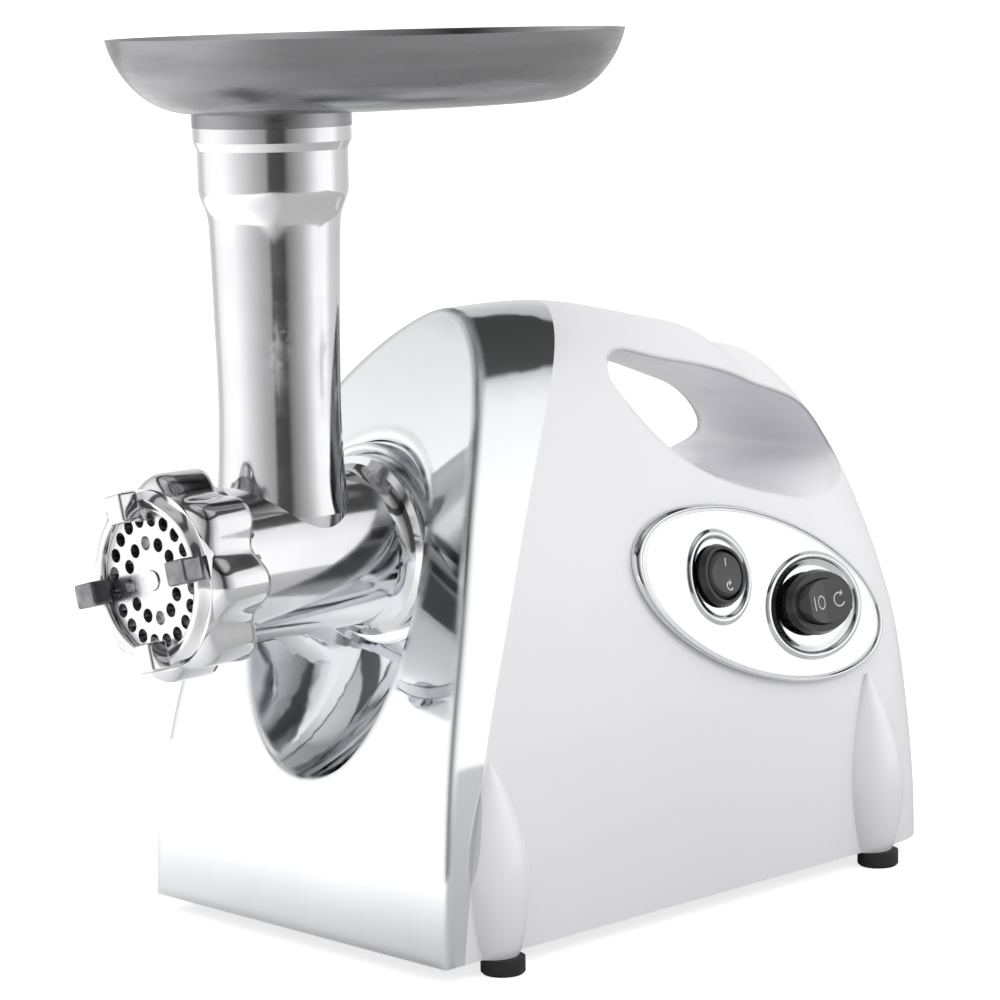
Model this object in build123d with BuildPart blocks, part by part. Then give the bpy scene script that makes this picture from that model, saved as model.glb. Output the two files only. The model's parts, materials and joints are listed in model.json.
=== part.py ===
from build123d import *
from math import asin, cos, hypot, pi, radians, sin, sqrt, tan
import os

os.makedirs("parts", exist_ok=True)

# Frame: +Z up, +X towards the control panel, -Y out of the grinding head, origin on the floor below the middle.

# ---------------------------------------------------------------- driving dimensions (mm)
body_half_width = 79.4
body_height = 226.6
body_bottom = 6.0
wall = 2.5
rear_y = 168.5
rear_corner = 24.0

barrel_z = 143.0
plate_front_y = -163.0
plate_radius = 27.0
plate_thickness = 5.0
barrel_radius = 28.0
barrel_bore = 24.5
thread_radius = 31.5
flange_radius = 33.0
flange_front_y = -67.0
flange_back_y = -58.0
hub_radius = 29.0
hub_back_y = -36.0
lug_front_y = -174.0
collar_radius = 37.0
collar_front_y = -60.5

tube_y = -103.0
tube_bore = 19.3
tube_bore_start_z = 170.0
tube_top_z = 297.0
tray_length = 218.5
tray_width = 139.7
tray_rim_z = 328.2
tray_bottom_z = 301.8
tray_centre_y = -54.0
tray_sheet = 1.2

foot_x = 80.5
foot_front_y = -76.0
foot_rear_y = 129.5
foot_radius = 8.0

gear_pressure_angle = 25.0
gear_addendum = 0.8
gear_dedendum = 1.05
gear_backlash = 0.16

fit_gap = 0.3
running_gap = 0.05

# ---------------------------------------------------------------- body outlines
# Side view arcs (Y, Z): the leaning front face, and the seam between bright cover and white housing.
face_low, face_mid, face_high = (-102.7, 9.0), (-80.2, 123.7), (-20.9, 224.5)
seam_low, seam_mid, seam_high = (-93.3, 8.7), (-54.8, 128.6), (25.0, 226.0)

# Half of the arch-shaped cross-section at full size: (half width, height).
arch_points = [(79.4, 6.0), (79.0, 34.0), (75.1, 80.0), (67.8, 125.0), (56.3, 160.0), (37.5, 198.0), (19.0, 218.5)]

# Ridge line above the middle plane: (Y, height of the arch there).
ridge_points = [(-112.0, 225.5), (-60.0, 225.5), (-18.0, 226.4), (22.5, 226.2), (53.0, 221.8), (83.0, 215.4),
                (109.0, 207.8), (128.0, 201.0), (rear_y - rear_corner, 193.4)]
# Rear rounding: (distance from the rear wall, height of the arch there).
rear_points = [(12.0, 179.0), (5.0, 168.0), (1.4, 159.5), (0.0, 151.0)]


def side_sector(low, mid, high, reach=40.0, inset=0.0):
    """Solid that fills everything in front of a side-view arc, from wall to wall."""
    with BuildPart() as sector:
        with BuildSketch(Plane.YZ) as outline:
            with BuildLine():
                arc = ThreePointArc((low[0] + inset, low[1]), (mid[0] + inset, mid[1]), (high[0] + inset, high[1]))
                bottom = Line(arc @ 0, arc @ 0 + Vector(0, -reach))
                front = Line(bottom @ 1, (bottom @ 1) + Vector(-2 * reach, 0))
                slope = (arc % 1).normalized()
                top = Line(arc @ 1, arc @ 1 + slope * reach)
                Polyline(front @ 1, (front @ 1).X * Vector(1, 0) + Vector(0, (top @ 1).Y), top @ 1)
            make_face()
        extrude(amount=150, both=True)
    return sector.part


def body_form(grow, front_inset):
    """The whole body as one smooth solid, grown or shrunk by a wall, with its leaning front face."""
    wide = 1 + grow / body_half_width
    tall = 1 + grow / body_height
    stations = [(y, height, 1.0) for y, height in ridge_points]
    for depth, height in rear_points:
        narrowing = rear_corner - sqrt(rear_corner**2 - (rear_corner - depth) ** 2)
        stations.append((rear_y - depth, height, 1 - narrowing / body_half_width))
    with BuildPart() as form:
        for y, height, narrow in stations:
            y_station = y + grow if y > 0 else y
            lift = height / body_height
            right = [(x * wide * narrow, z * tall * lift) for x, z in arch_points[1:]]
            foot = arch_points[0][0] * wide * narrow
            floor = body_bottom if grow >= 0 else body_bottom - 5
            with BuildSketch(Plane.XZ.offset(-y_station)):
                with BuildLine():
                    crown = [(0, height * tall)]
                    left = [(-x, z) for x, z in reversed(right)]
                    Spline((foot, floor), *right, *crown, *left, (-foot, floor), tangents=((0, 1), (0, -1)))
                    Line((-foot, floor), (foot, floor))
                make_face()
        loft()
        add(side_sector(face_low, face_mid, face_high, inset=front_inset), mode=Mode.SUBTRACT)
    return form.part



def hand_hole_form(grow):
    """Hourglass-shaped cutter for the hand hole: narrow in the middle, flared towards both sides."""
    with BuildPart() as flare:
        for x, rise, drop in ((-72, 22.0, 9.0), (-50, 9.0, 2.5), (-34, 3.0, 0.5), (0, 0.0, 0.0),
                              (34, 3.0, 0.5), (50, 9.0, 2.5), (72, 22.0, 9.0)):
            up, down = rise + grow, drop + grow
            with BuildSketch(Plane.YZ.offset(x)):
                with BuildLine():
                    Spline((28.5 - grow, 196), (43, 176 - down), (67, 161.5 - down), (100, 151.8 - down),
                           (133, 149.3 - down), (153.5 + grow, 158.5), (145, 171 + up), (120, 184 + up),
                           (88, 194.5 + up), (55, 202 + up), (34, 203 + up), periodic=True)
                make_face()
        loft()
    return flare.part


def scoop_form(grow):
    """Egg-shaped recess in the front cover, deepest around the socket and rising to the face at its tip."""
    top = barrel_z + 37.5
    with BuildPart() as scoop:
        for y, bottom, half_width in ((-108, 58.5, 43.4), (-97, 61.5, 43.0), (-80, 69.5, 42.0),
                                      (-62, 84.0, 39.8), (-47, 103.0, 37.2)):
            with BuildSketch(Plane.XZ.offset(-y - grow)):
                with Locations((0, (top + bottom) / 2)):
                    Ellipse(half_width + grow, (top - bottom) / 2 + grow)
        loft()
    return scoop.part


def leg_form(y):
    """Teardrop bulge that carries one foot, for the +X side."""
    with BuildPart() as leg:
        with BuildSketch(Plane(origin=(foot_x - 5.0, y, 0), x_dir=(1, 0, 0), z_dir=(0, -1, 0))) as outline:
            with BuildLine():
                flank = Spline((9.5, body_bottom), (13.2, 22), (13.6, 36), (9.6, 54), (2.2, 72), (0, 76))
                Polyline(flank @ 1, (0, body_bottom), flank @ 0)
            make_face()
        revolve(axis=Axis((foot_x - 5.0, y, 0), (0, 0, 1)))
    return leg.part


def wall_plane(y, z):
    """Plane lying on the +X side wall: local x runs back, local y runs up the wall."""
    probe = Axis((150, y, z), (-1, 0, 0))
    point, normal = outer_form.find_intersection_points(probe)[0]
    return Plane(origin=point, x_dir=(0, 1, 0), z_dir=normal)


def tooth_face(module, teeth):
    """One involute gear tooth on +X, standing on the root circle."""
    pressure = radians(gear_pressure_angle)
    pitch_radius = module * teeth / 2
    base_radius = pitch_radius * cos(pressure)
    tip_radius = pitch_radius + module * gear_addendum
    root_radius = pitch_radius - module * gear_dedendum
    half_pitch = pi / 2 / teeth - gear_backlash / 2 / pitch_radius
    involute_at_pitch = tan(pressure) - pressure
    start_radius = max(base_radius, root_radius)
    flank = []
    for step in range(5):
        radius = start_radius + (tip_radius - start_radius) * step / 4
        roll = sqrt(max((radius / base_radius) ** 2 - 1, 0))
        angle = half_pitch + involute_at_pitch - (roll - atan_of(roll))
        flank.append((radius * cos(angle), radius * sin(angle)))
    below = (root_radius - 0.3) / hypot(*flank[0])
    foot = (flank[0][0] * below, flank[0][1] * below)
    with BuildSketch() as tooth:
        with BuildLine():
            upper = Polyline(foot, *flank)
            lower = Polyline((foot[0], -foot[1]), *[(x, -y) for x, y in flank])
            Line(upper @ 0, lower @ 0)
            ThreePointArc(upper @ 1, (tip_radius, 0), lower @ 1)
        make_face()
    return tooth.sketch


def atan_of(value):
    """Angle whose tangent is the value."""
    return asin(value / sqrt(1 + value * value))


def gear_blank(module, teeth, turn=0.0):
    """Flat outline of a spur gear, turned so that its teeth mesh with its partner."""
    tooth = tooth_face(module, teeth)
    with BuildSketch() as outline:
        Circle(module * (teeth / 2 - gear_dedendum))
        with PolarLocations(0, teeth, start_angle=turn):
            add(tooth)
    return outline.sketch


def plane_facing_front(x, y, z):
    """Plane across the machine's length: local x is +X, local y is +Z, its normal points to the front."""
    return Plane(origin=(x, y, z), x_dir=(1, 0, 0), z_dir=(0, -1, 0))


def save(part, name):
    """Label a finished piece and write it under its own name."""
    part.label = name
    export_step(part, "parts/" + name + ".step")


barrel_axis = Axis((0, 0, barrel_z), (0, 1, 0))
tube_axis = Axis((0, tube_y, 0), (0, 0, 1))

# ---------------------------------------------------------------- housing
outer_form = body_form(0.0, 0.0)
inner_form = body_form(-wall, wall)
panel_form = body_form(2.6, 0.0)
cover_region = side_sector(seam_low, seam_mid, seam_high)
hand_hole = hand_hole_form(0.0)
hand_hole_skin = hand_hole_form(wall)
scoop = scoop_form(0.0)
scoop_skin = scoop_form(wall)
switch_round = wall_plane(50.5, 123.4)
switch_oval = wall_plane(103.0, 106.5)
switch_opening_round = 10.8
switch_opening_oval = (17.0, 10.2)

with BuildPart() as shell:
    add(outer_form)
    for y in (foot_front_y, foot_rear_y):
        leg = leg_form(y)
        add(leg)
        add(leg.mirror(Plane.YZ))
    add(inner_form, mode=Mode.SUBTRACT)
    with BuildPart(mode=Mode.PRIVATE) as tunnel:
        add(hand_hole_skin)
        add(outer_form, mode=Mode.INTERSECT)
    add(tunnel.part)
    add(hand_hole, mode=Mode.SUBTRACT)

with BuildPart() as white_shell:
    add(shell.part)
    add(cover_region, mode=Mode.SUBTRACT)
    with BuildSketch(switch_round):
        Circle(switch_opening_round + fit_gap)
    extrude(amount=12, both=True, mode=Mode.SUBTRACT)
    with BuildSketch(switch_oval):
        Ellipse(switch_opening_oval[0] + fit_gap, switch_opening_oval[1] + fit_gap)
    extrude(amount=12, both=True, mode=Mode.SUBTRACT)
    for side in (-1, 1):
        for y in (foot_front_y, foot_rear_y):
            with BuildSketch(Plane.XY.offset(body_bottom)):
                with Locations((side * foot_x, y)):
                    Circle(2.0)
            extrude(amount=12, mode=Mode.SUBTRACT)
    with BuildSketch(plane_facing_front(-30.0, rear_y, 36.0)):
        Circle(6.5)
    extrude(amount=10, both=True, mode=Mode.SUBTRACT)

screw_places = ((-62.0, 30.0), (148.0, 28.0), (150.0, 118.0), (13.0, 204.0))
boss_radius = 4.2
with BuildPart() as bosses:
    with BuildSketch(Plane.YZ):
        with Locations(screw_places):
            Circle(boss_radius)
    extrude(amount=100, both=True)
    add(outer_form, mode=Mode.INTERSECT)

with BuildPart() as screw_holes:
    with BuildSketch(Plane.YZ.offset(-100)):
        with Locations(screw_places):
            Circle(3.2)
    extrude(amount=90)
    with BuildSketch(Plane.YZ.offset(-100)):
        with Locations(screw_places):
            Circle(1.6)
    extrude(amount=112)

with BuildPart() as housing_right:
    add(white_shell.part)
    add(bosses.part)
    add(screw_holes.part, mode=Mode.SUBTRACT)
    split(bisect_by=Plane.YZ, keep=Keep.TOP)
save(housing_right.part, "housing_right")

with BuildPart() as housing_left:
    add(white_shell.part)
    add(bosses.part)
    add(screw_holes.part, mode=Mode.SUBTRACT)
    split(bisect_by=Plane.YZ, keep=Keep.BOTTOM)
save(housing_left.part, "housing_left")
with BuildPart() as housing_screws:
    with BuildSketch(Plane.YZ.offset(-10)):
        with Locations(screw_places):
            Circle(3.0)
    extrude(amount=-2)
    with BuildSketch(Plane.YZ.offset(-10)):
        with Locations(screw_places):
            Circle(1.6)
    extrude(amount=20)
save(housing_screws.part, "housing_screws")

with BuildPart() as front_cover:
    add(outer_form)
    add(cover_region, mode=Mode.INTERSECT)
    add(inner_form, mode=Mode.SUBTRACT)
    with BuildPart(mode=Mode.PRIVATE) as scoop_wall:
        add(scoop_skin)
        add(outer_form, mode=Mode.INTERSECT)
    add(scoop_wall.part)
    add(scoop, mode=Mode.SUBTRACT)
    with BuildSketch(plane_facing_front(0, -30, barrel_z)):
        Circle(collar_radius + 0.2)
    extrude(amount=60, mode=Mode.SUBTRACT)
save(front_cover.part, "front_cover")

# ---------------------------------------------------------------- base and feet
base_thickness = 2.5
with BuildPart() as base_plate:
    with BuildSketch(Plane.XY.offset(body_bottom)):
        with Locations((0, (face_low[0] + rear_y) / 2 + 1.5)):
            RectangleRounded(2 * (body_half_width - wall - 1.2), rear_y - face_low[0] - 2 * wall - 5, 34)
    extrude(amount=base_thickness)
    with BuildSketch(Plane.XY.offset(body_bottom)):
        with GridLocations(0, 9, 1, 9):
            SlotOverall(70, 4)
    extrude(amount=base_thickness, mode=Mode.SUBTRACT)
    with BuildSketch(Plane.XY.offset(body_bottom)):
        with Locations((0, 60)):
            with GridLocations(126, 150, 2, 2):
                Circle(1.8)
    extrude(amount=base_thickness, mode=Mode.SUBTRACT)
save(base_plate.part, "base_plate")

with BuildPart() as rubber_feet:
    for side in (-1, 1):
        for y in (foot_front_y, foot_rear_y):
            with BuildSketch(Plane.XY) as tread:
                with Locations((side * foot_x, y)):
                    Circle(foot_radius)
            extrude(amount=body_bottom)
            with BuildSketch(Plane.XY.offset(body_bottom)):
                with Locations((side * foot_x, y)):
                    Circle(1.9)
            extrude(amount=6)
    chamfer(rubber_feet.edges().group_by(Axis.Z)[0], 0.8)
save(rubber_feet.part, "rubber_feet")

with BuildPart() as base_screws:
    with BuildSketch(Plane.XY.offset(body_bottom - 1.6)):
        with Locations((0, 60)):
            with GridLocations(126, 150, 2, 2):
                Circle(3.4)
    extrude(amount=1.6)
    with BuildSketch(Plane.XY.offset(body_bottom)):
        with Locations((0, 60)):
            with GridLocations(126, 150, 2, 2):
                Circle(1.7)
    extrude(amount=9)
    fillet(base_screws.edges().group_by(Axis.Z)[0], 0.9)
save(base_screws.part, "base_screws")

# ---------------------------------------------------------------- control panel and switches
panel_centre = (74.5, 114.0)
panel_half_length = 69.6
panel_half_height = 31.0
panel_tilt = -18.0
with BuildPart() as control_panel:
    with BuildSketch(Plane.YZ) as panel_outline:
        with Locations(Location(panel_centre, panel_tilt)):
            Ellipse(panel_half_length, panel_half_height)
    extrude(amount=150)
    add(panel_form, mode=Mode.INTERSECT)
    add(outer_form, mode=Mode.SUBTRACT)
    with BuildSketch(switch_round):
        Circle(switch_opening_round + fit_gap)
    extrude(amount=12, both=True, mode=Mode.SUBTRACT)
    with BuildSketch(switch_oval):
        Ellipse(switch_opening_oval[0] + fit_gap, switch_opening_oval[1] + fit_gap)
    extrude(amount=12, both=True, mode=Mode.SUBTRACT)
save(control_panel.part, "control_panel")

bezel_base = 3.2
bezel_top = 5.7
switch_depth = 16.0
rocker_pivot = 1.5
round_rocker_radius = 9.0
oval_rocker_half = (14.4, 8.4)

with BuildPart() as direction_bezel:
    with BuildSketch(switch_round.offset(-switch_depth)):
        Circle(switch_opening_round)
    extrude(amount=switch_depth + bezel_base)
    with BuildSketch(switch_round.offset(bezel_base)):
        Circle(12.0)
    extrude(amount=bezel_top - bezel_base, taper=25)
    with BuildSketch(switch_round.offset(-switch_depth + 1.5)):
        Circle(round_rocker_radius + 0.7)
    extrude(amount=30, mode=Mode.SUBTRACT)
save(direction_bezel.part, "direction_bezel")

with BuildPart() as power_bezel:
    with BuildSketch(switch_oval.offset(-switch_depth)):
        Ellipse(*switch_opening_oval)
    extrude(amount=switch_depth + bezel_base)
    with BuildSketch(switch_oval.offset(bezel_base)):
        Ellipse(switch_opening_oval[0] + 2.4, switch_opening_oval[1] + 2.4)
    extrude(amount=bezel_top - bezel_base, taper=25)
    with BuildSketch(switch_oval.offset(-switch_depth + 1.5)):
        Ellipse(oval_rocker_half[0] + 0.9, oval_rocker_half[1] + 0.5)
    extrude(amount=30, mode=Mode.SUBTRACT)
save(power_bezel.part, "power_bezel")

with BuildPart() as direction_rocker:
    with BuildSketch(switch_round.offset(-5)):
        Circle(round_rocker_radius)
    extrude(amount=5 + bezel_top + 3.2)
    with BuildPart(mode=Mode.PRIVATE) as direction_ball:
        with Locations(switch_round.offset(rocker_pivot)):
            Sphere(round_rocker_radius + 0.4)
    add(direction_ball.part, mode=Mode.INTERSECT)
    side_view = Plane(origin=switch_round.origin, x_dir=switch_round.y_dir, z_dir=switch_round.x_dir)
    with BuildSketch(side_view):
        with BuildLine():
            ThreePointArc((-12, 9.2), (0, 6.4), (12, 9.2))
            Polyline((12, 9.2), (12, 20), (-12, 20), (-12, 9.2))
        make_face()
    extrude(amount=20, both=True, mode=Mode.SUBTRACT)
save(direction_rocker.part, "direction_rocker")

with BuildPart() as power_rocker:
    with BuildSketch(switch_oval.offset(-5)):
        Ellipse(*oval_rocker_half)
    extrude(amount=5 + bezel_top + 4.5)
    with BuildPart(mode=Mode.PRIVATE) as power_drum:
        with Locations(switch_oval.offset(rocker_pivot)):
            Cylinder(oval_rocker_half[0] + 0.4, 40, rotation=(90, 0, 0))
    add(power_drum.part, mode=Mode.INTERSECT)
    top_view = Plane(origin=switch_oval.origin, x_dir=switch_oval.x_dir, z_dir=-switch_oval.y_dir)
    with BuildSketch(top_view):
        with BuildLine():
            Polyline((-16, 10.4), (0, 7.4), (16, 10.4), (16, 24), (-16, 24), (-16, 10.4))
        make_face()
    extrude(amount=20, both=True, mode=Mode.SUBTRACT)
save(power_rocker.part, "power_rocker")

# ---------------------------------------------------------------- grinding head
thread_end_y = -140.0
with BuildPart() as grinding_head:
    with BuildSketch(Plane.YZ) as head_outline:
        with BuildLine():
            Polyline((-161.5, barrel_z), (-161.5, barrel_z + thread_radius), (thread_end_y, barrel_z + thread_radius),
                     (thread_end_y + 3.5, barrel_z + barrel_radius), (flange_front_y - 6, barrel_z + barrel_radius))
            ThreePointArc((flange_front_y - 6, barrel_z + barrel_radius),
                          (flange_front_y - 1.8, barrel_z + barrel_radius + 1.1),
                          (flange_front_y, barrel_z + flange_radius - 2.6))
            Polyline((flange_front_y, barrel_z + flange_radius - 2.6), (flange_front_y + 1.2, barrel_z + flange_radius),
                     (flange_back_y, barrel_z + flange_radius), (flange_back_y, barrel_z + hub_radius),
                     (hub_back_y, barrel_z + hub_radius), (hub_back_y, barrel_z), (-161.5, barrel_z))
        make_face()
    revolve(axis=barrel_axis)
    with BuildSketch(Plane(origin=(0, tube_y, 0), x_dir=(1, 0, 0), z_dir=(0, -1, 0))):
        with BuildLine():
            Polyline((0, barrel_z), (24.5, barrel_z), (24.5, barrel_z + 18))
            Spline((24.5, barrel_z + 18), (22.4, 178), (21.8, 195), (22.4, 230), (23.3, 262),
                   tangents=((-0.3, 1), (0.04, 1)))
            Spline((23.3, 262), (24.3, 268), (26.2, 273), (26.6, 277), tangents=((0.04, 1), (0, 1)))
            Polyline((26.6, 277), (26.6, 289), (28.0, 292), (28.0, tube_top_z), (0, tube_top_z), (0, barrel_z))
        make_face()
    revolve(axis=tube_axis)
    with BuildSketch(plane_facing_front(0, flange_back_y - 4, barrel_z)):
        Circle(barrel_bore)
    extrude(amount=120, mode=Mode.SUBTRACT)
    with BuildSketch(plane_facing_front(0, plate_front_y + plate_thickness, barrel_z)):
        Circle(plate_radius + 0.1)
    extrude(amount=20, mode=Mode.SUBTRACT)
    with BuildSketch(plane_facing_front(0, hub_back_y, barrel_z)):
        Circle(8 + running_gap)
    extrude(amount=40, mode=Mode.SUBTRACT)
    with BuildSketch(Plane.XY.offset(barrel_z)):
        with Locations((0, tube_y)):
            Circle(tube_bore)
    extrude(amount=200, mode=Mode.SUBTRACT)
    with BuildSketch(Plane.XY.offset(barrel_z)):
        with Locations((0, tube_y)):
            Circle(tube_bore + 1.0)
    extrude(amount=tube_bore_start_z - barrel_z, mode=Mode.SUBTRACT)
    with BuildSketch(Plane.XY.offset(tube_top_z - 17)):
        with Locations((0, tube_y)):
            Circle(23.6)
    extrude(amount=30, mode=Mode.SUBTRACT)
save(grinding_head.part, "grinding_head")

hole_radius = 2.5
with BuildPart() as cutting_plate:
    with BuildSketch(plane_facing_front(0, plate_front_y + plate_thickness, barrel_z)):
        Circle(plate_radius)
        with PolarLocations(21.3, 20):
            Circle(hole_radius, mode=Mode.SUBTRACT)
        with PolarLocations(13.2, 12, start_angle=15):
            Circle(hole_radius, mode=Mode.SUBTRACT)
        Circle(3.6, mode=Mode.SUBTRACT)
    extrude(amount=plate_thickness)
save(cutting_plate.part, "cutting_plate")

knife_back_y = plate_front_y + plate_thickness + 5.5
knife_square = 9.0
with BuildPart() as knife:
    with BuildSketch(plane_facing_front(0, knife_back_y, barrel_z)):
        Circle(9)
        for turn in (0, 90, 180, 270):
            with Locations(Location((0, 0), turn)):
                with Locations((14.6, 2.4)):
                    Trapezoid(17, 6.2, 78)
        Rectangle(knife_square + 0.3, knife_square + 0.3, mode=Mode.SUBTRACT)
    extrude(amount=5.4)
    chamfer(knife.edges().filter_by(GeomType.LINE).group_by(Axis.Y)[0].filter_by(Axis.Y, reverse=True), 0.8)
save(knife.part, "knife")

auger_front_y = knife_back_y + 0.4
auger_back_y = flange_back_y - 6.5
flight_pitch = 24.0
with BuildPart() as auger:
    with BuildSketch(plane_facing_front(0, auger_back_y, barrel_z)):
        Circle(10)
    extrude(amount=auger_back_y - auger_front_y)
    flight_centre = Vector(0, auger_front_y + 4, barrel_z)
    with BuildLine() as flight_path:
        Helix(flight_pitch, auger_back_y - auger_front_y - 8, 9, center=flight_centre, direction=(0, 1, 0))
    flight_start = flight_path.line @ 0
    with BuildSketch(Plane(origin=flight_start, x_dir=flight_start - flight_centre, z_dir=flight_path.line % 0)):
        with Locations((5.4, 0)):
            Rectangle(16.6, 3.2)
    sweep(path=flight_path.line, is_frenet=True)
    with BuildSketch(plane_facing_front(0, auger_back_y, barrel_z)):
        Circle(22.6)
    extrude(amount=3.5)
    with BuildSketch(plane_facing_front(0, auger_front_y, barrel_z)):
        Rectangle(knife_square, knife_square)
    extrude(amount=5.0)
    with BuildSketch(plane_facing_front(0, auger_front_y, barrel_z)):
        Circle(3.4)
    extrude(amount=auger_front_y - plate_front_y + 0.6)
    with BuildSketch(plane_facing_front(0, -30, barrel_z)):
        Circle(8)
    extrude(amount=-auger_back_y - 30)
    with BuildSketch(plane_facing_front(0, -18, barrel_z)):
        RegularPolygon(6.5, 6)
    extrude(amount=12)
save(auger.part, "auger")

nut_radius = 36.8
nut_back_y = thread_end_y + 0.5
nut_lip_y = plate_front_y - 3.0
with BuildPart() as ring_nut:
    with BuildSketch(plane_facing_front(0, nut_back_y, barrel_z)) as nut_outline:
        Circle(nut_radius)
        with PolarLocations(nut_radius + 5.4, 8, start_angle=22.5):
            Circle(9.0, mode=Mode.SUBTRACT)
        fillet(nut_outline.vertices(), 5.5)
    extrude(amount=nut_back_y - nut_lip_y)
    with BuildSketch(plane_facing_front(0, nut_back_y, barrel_z)):
        Circle(thread_radius + fit_gap)
    extrude(amount=nut_back_y - plate_front_y + running_gap, mode=Mode.SUBTRACT)
    with BuildSketch(plane_facing_front(0, nut_back_y, barrel_z)):
        Circle(25.2)
    extrude(amount=60, mode=Mode.SUBTRACT)
    with BuildSketch(plane_facing_front(0, nut_lip_y, barrel_z)):
        with PolarLocations(26.4, 4, start_angle=15):
            RectangleRounded(11, 9, 1.5)
    extrude(amount=nut_lip_y - lug_front_y)
save(ring_nut.part, "ring_nut")

# ---------------------------------------------------------------- hopper tray
spigot_radius = 23.3


def tray_bowl(sheet):
    """Solid oval bowl, shrunk by the sheet thickness for the inside."""
    half_length, half_width = tray_length / 2 - sheet, tray_width / 2 - sheet
    floor_z = tray_bottom_z + sheet
    with BuildPart() as bowl:
        for fall, draw_in in ((0.0, 0.0), (0.3, 2.9), (0.58, 7.8), (0.78, 13.5), (0.92, 20.5), (1.0, 32.0)):
            with BuildSketch(Plane.XY.offset(tray_rim_z + fall * (floor_z - tray_rim_z))):
                with Locations((0, tray_centre_y)):
                    Ellipse(half_width - draw_in, half_length - draw_in)
        loft()
    return bowl.part


with BuildPart() as hopper_tray:
    add(tray_bowl(0.0))
    add(tray_bowl(tray_sheet), mode=Mode.SUBTRACT)
    with BuildSketch(Plane.XY.offset(tray_bottom_z + 0.6)):
        with Locations((0, tube_y)):
            Circle(28.2)
    extrude(amount=-(tray_bottom_z + 0.6 - tube_top_z))
    with BuildSketch(Plane.XY.offset(tube_top_z)):
        with Locations((0, tube_y)):
            Circle(spigot_radius)
    extrude(amount=-15)
    with BuildSketch(Plane.XY.offset(tube_top_z - 20)):
        with Locations((0, tube_y)):
            Circle(spigot_radius - 1.6)
    extrude(amount=80, mode=Mode.SUBTRACT)
save(hopper_tray.part, "hopper_tray")

# ---------------------------------------------------------------- gear train
def at_angle(centre, distance, degrees):
    """Point in the cross-section plane at a distance and angle from a centre."""
    return centre[0] + distance * cos(radians(degrees)), centre[1] + distance * sin(radians(degrees))


pinion_teeth, first_teeth, first_module = 10, 52, 1.0
second_pinion_teeth, second_teeth, second_module = 12, 48, 1.25
third_pinion_teeth, output_teeth, third_module = 13, 50, 1.5
first_distance = first_module * (pinion_teeth + first_teeth) / 2
second_distance = second_module * (second_pinion_teeth + second_teeth) / 2
third_distance = third_module * (third_pinion_teeth + output_teeth) / 2
third_direction = 235.0
second_direction = 290.0
first_direction = 25.0
output_centre = (0.0, barrel_z)
second_centre = at_angle(output_centre, third_distance, third_direction)
first_centre = at_angle(second_centre, second_distance, second_direction)
motor_centre = at_angle(first_centre, first_distance, first_direction)

gearbox_front_y = -28.0
gearbox_back_y = 22.0
gearbox_wall = 3.0
output_gear_y = (-22.5, -9.5)
second_gear_y = (-6.5, 3.0)
first_gear_y = (6.5, 14.5)
pin_radius = 3.0
coupler_radius = 12.0
output_shaft_radius = 8.0


def meshing_turn(own_teeth, partner_teeth, partner_turn, direction):
    """Turn that puts a tooth space of a gear where its partner's tooth points at it."""
    partner_phase = (direction - partner_turn) * partner_teeth / 360
    return direction + 180 + (partner_phase + 0.5) * 360 / own_teeth


first_turn = meshing_turn(first_teeth, pinion_teeth, 0.0, first_direction + 180)
second_turn = meshing_turn(second_teeth, second_pinion_teeth, 0.0, second_direction + 180)
output_turn = meshing_turn(output_teeth, third_pinion_teeth, 0.0, third_direction + 180)

with BuildPart() as first_reduction_gear:
    with BuildSketch(plane_facing_front(first_centre[0], first_gear_y[1], first_centre[1])):
        add(gear_blank(first_module, first_teeth, first_turn))
        Circle(pin_radius + running_gap, mode=Mode.SUBTRACT)
    extrude(amount=first_gear_y[1] - first_gear_y[0])
    with BuildSketch(plane_facing_front(first_centre[0], first_gear_y[0], first_centre[1])):
        add(gear_blank(second_module, second_pinion_teeth))
        Circle(pin_radius + running_gap, mode=Mode.SUBTRACT)
    extrude(amount=first_gear_y[0] - second_gear_y[0] + 0.5)
save(first_reduction_gear.part, "first_reduction_gear")

with BuildPart() as second_reduction_gear:
    with BuildSketch(plane_facing_front(second_centre[0], second_gear_y[1], second_centre[1])):
        add(gear_blank(second_module, second_teeth, second_turn))
        Circle(pin_radius + running_gap, mode=Mode.SUBTRACT)
    extrude(amount=second_gear_y[1] - second_gear_y[0])
    with BuildSketch(plane_facing_front(second_centre[0], second_gear_y[0], second_centre[1])):
        add(gear_blank(third_module, third_pinion_teeth))
        Circle(pin_radius + running_gap, mode=Mode.SUBTRACT)
    extrude(amount=second_gear_y[0] - output_gear_y[0] + 0.5)
save(second_reduction_gear.part, "second_reduction_gear")

with BuildPart() as output_gear:
    with BuildSketch(plane_facing_front(output_centre[0], output_gear_y[1], output_centre[1])):
        add(gear_blank(third_module, output_teeth, output_turn))
        Circle(coupler_radius, mode=Mode.SUBTRACT)
    extrude(amount=output_gear_y[1] - output_gear_y[0])
    for y in output_gear_y:
        recess = plane_facing_front(0, y, barrel_z)
        with BuildSketch(recess):
            Circle(31)
            Circle(17, mode=Mode.SUBTRACT)
        extrude(amount=2.5, both=True, mode=Mode.SUBTRACT)
save(output_gear.part, "output_gear")

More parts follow.
